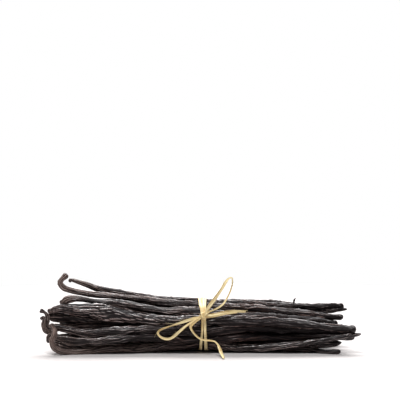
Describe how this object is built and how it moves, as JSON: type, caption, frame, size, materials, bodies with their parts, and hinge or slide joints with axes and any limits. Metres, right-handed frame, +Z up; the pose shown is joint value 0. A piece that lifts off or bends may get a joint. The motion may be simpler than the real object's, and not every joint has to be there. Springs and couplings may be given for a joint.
{
  "type": "bundle of vanilla pods",
  "caption": "Loose bundle of cured vanilla pods with curled stem ends, gathered at the middle by a knotted raffia tie with a bow and loose ends.",
  "frame": {"origin": "on the resting surface, under the middle of the bundle's bounding box (the loose raffia end left out)", "axes": "+X along the pods towards the blossom ends, +Z up, -Y towards the side with the knot"},
  "size_m": [0.1916, 0.0672, 0.047],
  "materials": {
    "pod_skin": "oily near-black brown skin with long wrinkles and a grey sheen on the ridges",
    "raffia": "dry pale straw leaf strip with fine lengthwise fibres"
  },
  "bodies": {
    "root": {"pod_bundle": "pod_skin", "raffia_tie": "raffia", "raffia_tail": "raffia"}
  },
  "joints": []
}
